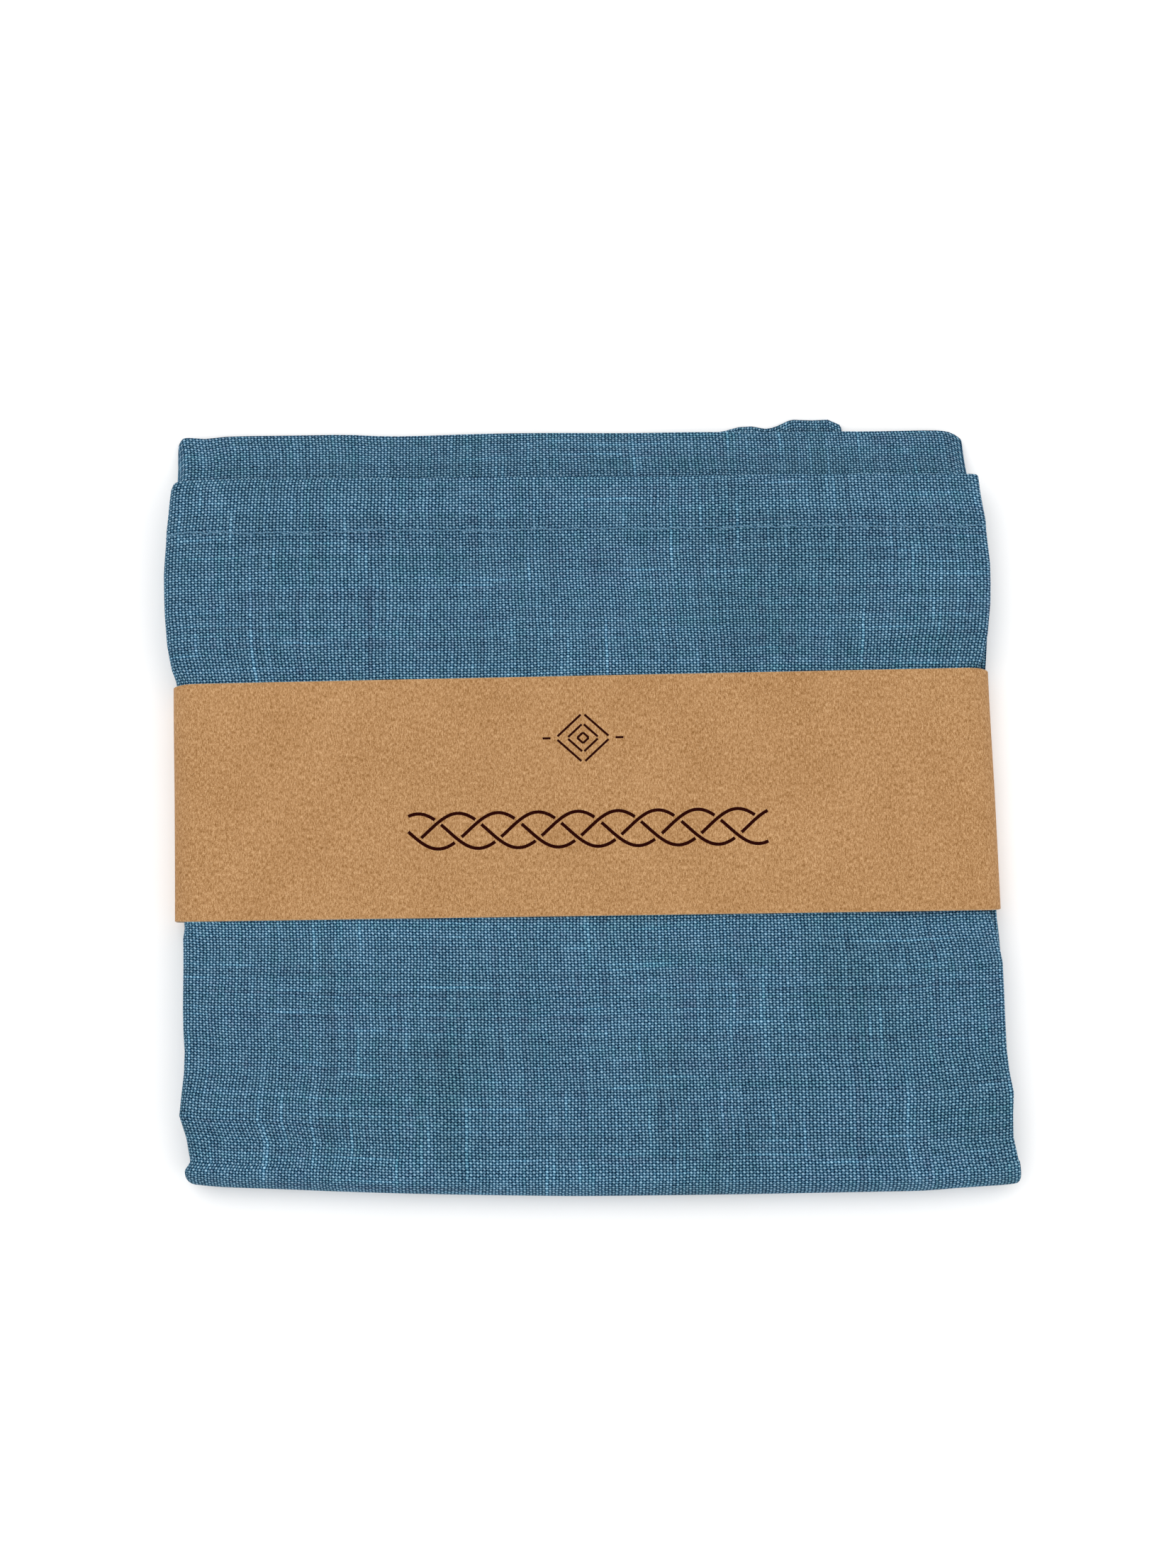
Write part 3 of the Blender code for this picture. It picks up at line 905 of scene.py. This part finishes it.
class Material:
    """Builds one procedural material."""

    def __init__(self, name):
        self.material = bpy.data.materials.new(name)
        self.material.use_nodes = True
        self.tree = self.material.node_tree
        self.shader = self.tree.nodes["Principled BSDF"]

    def set(self, **values):
        for name, value in values.items():
            feed(self.tree, self.shader.inputs[name.replace("_", " ")], value)

    def uv(self, layer):
        node = self.tree.nodes.new("ShaderNodeUVMap")
        node.uv_map = layer
        return self.split(Value(self.tree, node.outputs[0]))

    def spot(self):
        node = self.tree.nodes.new("ShaderNodeTexCoord")
        return self.split(Value(self.tree, node.outputs["Object"]))

    def split(self, vector):
        node = self.tree.nodes.new("ShaderNodeSeparateXYZ")
        feed(self.tree, node.inputs[0], vector)
        return [Value(self.tree, out) for out in node.outputs]

    def vector(self, x, y, z=0.0):
        node = self.tree.nodes.new("ShaderNodeCombineXYZ")
        for socket, value in zip(node.inputs, (x, y, z)):
            feed(self.tree, socket, value)
        return Value(self.tree, node.outputs[0])

    def noise(self, x, y, z=0.0, detail=0.0, colour=False):
        """One smooth noise, or three unrelated ones if colour is set."""
        node = self.tree.nodes.new("ShaderNodeTexNoise")
        feed(self.tree, node.inputs["Vector"], self.vector(x, y, z))
        node.inputs["Scale"].default_value = 1.0
        node.inputs["Detail"].default_value = detail
        if colour:
            return self.split(Value(self.tree, node.outputs["Color"]))
        return Value(self.tree, node.outputs[0])

    def random(self, x, y):
        node = self.tree.nodes.new("ShaderNodeTexWhiteNoise")
        feed(self.tree, node.inputs["Vector"], self.vector(x, y))
        return Value(self.tree, node.outputs["Value"])

    def ramp(self, value, stops):
        """Colours between (position, screen colour) stops."""
        node = self.tree.nodes.new("ShaderNodeValToRGB")
        feed(self.tree, node.inputs[0], value)
        ramp = node.color_ramp
        while len(ramp.elements) < len(stops):
            ramp.elements.new(0.5)
        for element, (position, colour) in zip(ramp.elements, stops):
            element.position = position
            element.color = (*linear(colour), 1.0)
        return Value(self.tree, node.outputs[0])

    def mix(self, share, first, second, blend="MIX"):
        node = self.tree.nodes.new("ShaderNodeMix")
        node.data_type = "RGBA"
        node.blend_type = blend
        feed(self.tree, node.inputs[0], share)
        for socket, colour in ((MIX_FIRST, first), (MIX_SECOND, second)):
            plain = not isinstance(colour, Value)
            feed(self.tree, node.inputs[socket], (*linear(colour), 1.0) if plain else colour)
        return Value(self.tree, node.outputs[MIX_COLOUR])

    def tinted(self, share, colour, tint):
        """A colour with some share of it multiplied by a tint."""
        return self.mix(share, colour, self.mix(1.0, colour, tint, "MULTIPLY"))

    def scale_colour(self, colour, amount):
        node = self.tree.nodes.new("ShaderNodeVectorMath")
        node.operation = "SCALE"
        feed(self.tree, node.inputs[0], colour)
        feed(self.tree, node.inputs["Scale"], amount)
        return Value(self.tree, node.outputs[0])

    def bump(self, height, distance, strength):
        node = self.tree.nodes.new("ShaderNodeBump")
        node.inputs["Strength"].default_value = strength
        node.inputs["Distance"].default_value = distance
        feed(self.tree, node.inputs["Height"], height)
        feed(self.tree, self.shader.inputs["Normal"], Value(self.tree, node.outputs[0]))


# How much brighter than its own colour a surface is shown under the scene's lights
EXPOSURE = 1.39


def linear(colour):
    """The linear colour that this scene's lights bring to the given 0 to 255 screen values."""
    out = []
    for part in colour:
        part = part / 255
        part = part / 12.92 if part <= 0.04045 else ((part + 0.055) / 1.055) ** 2.4
        out.append(part / EXPOSURE)
    return out


# Yarn spacings, and the cloth's blues from painted shade in the gaps to painted highlights on the yarns'
# crowns
WARP_PITCH, WEFT_PITCH = 0.905 * MM, 0.76 * MM
CLOTH_SHADE_TO_HIGHLIGHT = [
    (0.0, (0, 6, 36)), (0.25, (0, 30, 62)), (0.46, (30, 80, 112)), (0.66, (73, 121, 153)),
    (0.84, (125, 169, 199)), (1.0, (184, 221, 246)),
]
TEAL, GREENISH, VIOLET = (196, 252, 240), (234, 255, 238), (252, 232, 246)
SHEEN = (90, 160, 205)


def strand(m, side, crossing, over, along, number, seed):
    """Height, painted light and shade, crown and slubs of one set of yarns in a cell of the weave.

    side goes across the yarn and crossing along it, from -0.5 to 0.5. over is 1 where it passes over the
    other set and -1 where it passes under. along and number say where on which yarn the cell is.
    """
    slub = m.noise(number * 5.13 + seed, along * 0.022, detail=2.0).step(0.60, 0.74)
    uneven = m.noise(number * 7.71 + seed * 2, along * 0.17, detail=2.0) - 0.5
    width = uneven * 0.32 + 0.42 + slub * 0.10
    drift = m.noise(number * 3.37 + seed * 3, along * 0.45) - 0.5
    off = side + drift * 0.36 + (crossing * 2 * math.pi).math("SINE") * 0.10
    rim = (off / width).math("ABSOLUTE").math("MINIMUM", 1.0)
    dome = rim * rim * -1.0 + 1.0
    there = rim.math("LESS_THAN", 0.999)
    crown = (crossing * math.pi).math("COSINE") * over
    height = (dome * 0.56 + crown * 0.44 + 0.6) * there
    # tone is painted light: a painted highlight along the crown, falling to painted shade at the yarn's
    # sides and where it dips under
    tone = (dome * 0.40 + crown * 0.45 + 0.15) * there
    return height, tone, crown, slub


def weave_material(name):
    """Plain weave: numbered yarns of uneven width that drift, with slubs, fibres and soft tints."""
    m = Material(name)
    s, v, _ = m.uv("weave")
    slow_a, slow_b, slow_c = m.noise(s * 13.0, v * 13.0, detail=1.5, colour=True)
    fine_a, fine_b, fine_c = m.noise(s * 150.0, v * 150.0, colour=True)
    a = (s + (slow_a - 0.5) * 0.0042 + (fine_a - 0.5) * 0.00050) / WARP_PITCH
    b = (v + (slow_b - 0.5) * 0.0036 + (fine_b - 0.5) * 0.00042) / WEFT_PITCH
    i, j = a.math("FLOOR"), b.math("FLOOR")
    in_a, in_b = a - i - 0.5, b - j - 0.5
    odd = ((i + j) * 0.5).math("FRACT").math("GREATER_THAN", 0.25)
    over = odd * -2.0 + 1.0
    warp_height, warp_painted_light, warp_crown, warp_slub = strand(m, in_a, in_b, over, b, i, 3.1)
    weft_height, weft_painted_light, _, weft_slub = strand(m, in_b, in_a, over * -1.0, a, j, 51.7)
    # The yarns' tones are painted light: painted shade in the gaps and on the yarns' sides, painted
    # highlights on their crowns
    painted_shading = warp_painted_light.math("MAXIMUM", weft_painted_light).math("MAXIMUM", 0.10)
    checks = warp_crown * (in_a * math.pi).math("COSINE")
    fibre = m.noise(a * 3.0 + b * 2.2, b * 3.0, detail=2.0)
    tone = painted_shading + checks * 0.15 + (fibre - 0.5) * 0.20 + (m.random(i, j) - 0.5) * 0.10
    colour = m.ramp(tone, CLOTH_SHADE_TO_HIGHLIGHT)
    slubs = warp_slub.math("MAXIMUM", weft_slub)
    warp_stripes = m.noise(i * 0.33, b * 0.012, detail=2.0) - 0.5
    weft_stripes = m.noise(j * 0.33, a * 0.010, z=8.0, detail=2.0) - 0.5
    stripes = warp_stripes + weft_stripes
    teal = slubs * 0.15 + fine_c * 0.2 + stripes.step(0.02, 0.28) * 0.35
    colour = m.tinted(teal, colour, TEAL)
    cloud = m.noise(s * 21.0, v * 15.0, z=3.0, detail=2.0)
    colour = m.tinted(cloud.step(0.45, 0.75) * 0.4, colour, GREENISH)
    colour = m.tinted((stripes * -1.0).step(0.04, 0.30) * 0.5, colour, VIOLET)
    yarns = (m.random(i, 7.0) - 0.5) * 0.16 + (m.random(9.0, j) - 0.5) * 0.16
    bright = yarns + stripes * 0.06 + (slow_c - 0.5) * 0.06 + slubs * 0.34 + 0.85
    colour = m.scale_colour(colour, bright)
    m.set(Base_Color=colour, Roughness=0.88, Specular_IOR_Level=0.05)
    m.set(Sheen_Weight=0.03, Sheen_Roughness=0.5, Sheen_Tint=(*linear(SHEEN), 1.0))
    m.bump(warp_height.math("MAXIMUM", weft_height), 0.16 * MM, 0.8)
    return m.material


def thread_material(name):
    m = Material(name)
    x, y, z = m.spot()
    # The twist's ridges go into the colour as painted light and shade along the plies, and into the bump
    twist = ((x + y * 0.6 + z) * 7000.0).math("SINE")
    fuzz = m.noise(x * 2500.0, y * 2500.0, z=z * 2500.0, detail=2.0)
    tone = twist * 0.16 + fuzz * 0.7 + 0.15
    m.set(Base_Color=m.ramp(tone, [(0.1, (44, 88, 118)), (0.5, (98, 142, 170)), (0.9, (156, 190, 214))]))
    m.set(Roughness=0.8, Specular_IOR_Level=0.05)
    m.bump(twist + fuzz, 0.03 * MM, 0.6)
    return m.material


def kraft_material(name, edge=False):
    """Kraft paper: a fine grain with flecks, clouds and fibre hairs in three directions."""
    m = Material(name)
    u, v, _ = m.uv("paper")
    grain = m.noise(u * 3000.0, v * 1150.0, detail=3.0)
    cloud = m.noise(u * 70.0, v * 50.0, detail=4.0)
    speck = m.noise(u * 5200.0, v * 4200.0, detail=1.0)
    fleck = m.noise(u * 1100.0, v * 560.0, detail=2.0)
    tone = (grain - 0.5) * 1.6 + (fleck - 0.5) * 0.7 + (cloud - 0.5) * 0.24 + (speck - 0.5) * 1.3 + 0.48
    colour = m.ramp(tone, [(0.05, (150, 103, 52)), (0.5, (197, 149, 99)), (0.95, (236, 190, 140))])
    for number, (turn, size) in enumerate(((0.95, 1.0), (1.5, 0.9), (2.1, 1.1))):
        c, s = math.cos(turn), math.sin(turn)
        along = u * (c * 700.0 * size) + v * (s * 700.0 * size)
        across = u * (-s * 3300.0) + v * (c * 3300.0)
        hair = m.noise(along, across, z=5.0 * number, detail=1.0)
        colour = m.mix(hair.step(0.70, 0.78) * 0.5, colour, (112, 76, 44))
        colour = m.mix(hair.step(0.30, 0.22) * 0.35, colour, (236, 198, 154))
    # Cut edges are lightened towards pale kraft: a painted highlight where the cut edge catches light
    if edge:
        colour = m.mix(0.55, colour, (238, 206, 168))
    m.set(Base_Color=colour, Roughness=0.85, Specular_IOR_Level=0.15)
    m.bump(grain + speck * 0.7, 0.035 * MM, 0.6)
    return m.material


def ink_material(name):
    m = Material(name)
    x, y, _ = m.spot()
    worn = m.noise(x * 3000.0, y * 3000.0, detail=3.0)
    m.set(Base_Color=m.ramp(worn, [(0.3, (34, 4, 2)), (0.62, (48, 10, 6)), (0.8, (96, 60, 40))]))
    m.set(Roughness=0.85, Specular_IOR_Level=0.02)
    m.bump(worn, 0.01 * MM, 0.5)
    return m.material


def glue_material(name):
    m = Material(name)
    x, y, _ = m.spot()
    streak = m.noise(x * 300.0, y * 90.0, detail=2.0)
    m.set(Base_Color=m.ramp(streak, [(0.3, (214, 202, 172)), (0.7, (232, 224, 204))]))
    m.set(Roughness=streak.step(0.2, 0.8, 0.25, 0.45))
    m.bump(streak, 0.03 * MM, 0.5)
    return m.material


def floor_material(name):
    """A floor bright enough to show as white."""
    m = Material(name)
    x, y, _ = m.spot()
    tone = m.noise(x * 30.0, y * 30.0, detail=3.0)
    m.set(Base_Color=m.ramp(tone, [(0.2, (290, 290, 290)), (0.8, (293, 293, 293))]))
    m.set(Roughness=0.9, Specular_IOR_Level=0.1)
    return m.material


# -------- the scene

# The photo's camera: focal length over the long side, place, and its right, up and back directions
LENS_TO_LONG_SIDE = 3797 / 2212
SENSOR = 36.0
CAMERA_SPOT = (-0.0089715, -0.1056004, 0.7485895)
CAMERA_AXES = (
    (0.9997732, -0.0187245, 0.0101464),
    (0.0170049, 0.9886918, 0.1489946),
    (-0.0128215, -0.1487882, 0.9887860),
)


def make_camera():
    data = bpy.data.cameras.new("photo_camera")
    data.sensor_width = SENSOR
    data.lens = SENSOR * LENS_TO_LONG_SIDE
    camera = bpy.data.objects.new("photo_camera", data)
    bpy.context.scene.collection.objects.link(camera)
    turn = Matrix(CAMERA_AXES).transposed().to_4x4()
    camera.matrix_world = Matrix.Translation(CAMERA_SPOT) @ turn
    data.clip_start = 0.01
    data.clip_end = 20.0
    bpy.context.scene.camera = camera


def make_light(name, spot, size, watts):
    """A round white light that faces the object."""
    data = bpy.data.lights.new(name, "AREA")
    data.shape = "DISK"
    data.size = size
    data.energy = watts
    light = bpy.data.objects.new(name, data)
    bpy.context.scene.collection.objects.link(light)
    light.location = spot
    light.rotation_mode = "QUATERNION"
    light.rotation_quaternion = (-Vector(spot)).to_track_quat("-Z", "Y")


def make_stage():
    bpy.ops.mesh.primitive_plane_add(size=6.0, location=(0, 0, -0.02 * MM))
    floor = bpy.context.active_object
    floor.name = "floor"
    floor.data.materials.append(floor_material("pale_floor"))
    world = bpy.data.worlds.new("studio")
    world.use_nodes = True
    background = world.node_tree.nodes["Background"]
    background.inputs["Color"].default_value = (1, 1, 1, 1)
    background.inputs["Strength"].default_value = 1.0
    bpy.context.scene.world = world
    make_light("key", (-0.45, 0.35, 1.35), 1.2, 4.6)
    make_light("fill", (0.9, -0.5, 1.0), 1.2, 2.5)
    bpy.context.scene.view_settings.view_transform = "Standard"


make_camera()
make_stage()

cloth_look = weave_material("woven_cloth")
sheet = make_sheet()
sheet.data.materials.append(cloth_look)
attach(sheet, BODY_CLOTH)
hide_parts("runner_cloth")

stitching = make_stitching()
thread_look = thread_material("sewing_thread")
for piece in stitching:
    piece.data.materials.append(thread_look)

band = make_band()
band.data.materials.append(kraft_material("kraft_face"))
band.data.materials.append(kraft_material("kraft_cut_edge_painted_highlight", edge=True))
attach(band, BODY_BAND)
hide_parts("kraft_band")

ink_look = ink_material("dark_ink")
for name, runs, stroke in (
    ("printed_braid", braid_runs(), BRAID_STROKE),
    ("printed_lozenge", lozenge_runs(), LOZENGE_STROKE),
):
    piece = merged(name, [ribbon(points, stroke) for points in runs])
    piece.data.materials.append(ink_look)
    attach(piece, BODY_BAND)

glue = make_glue()
glue.data.materials.append(glue_material("dried_glue"))
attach(glue, BODY_BAND)
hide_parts("band_glue")
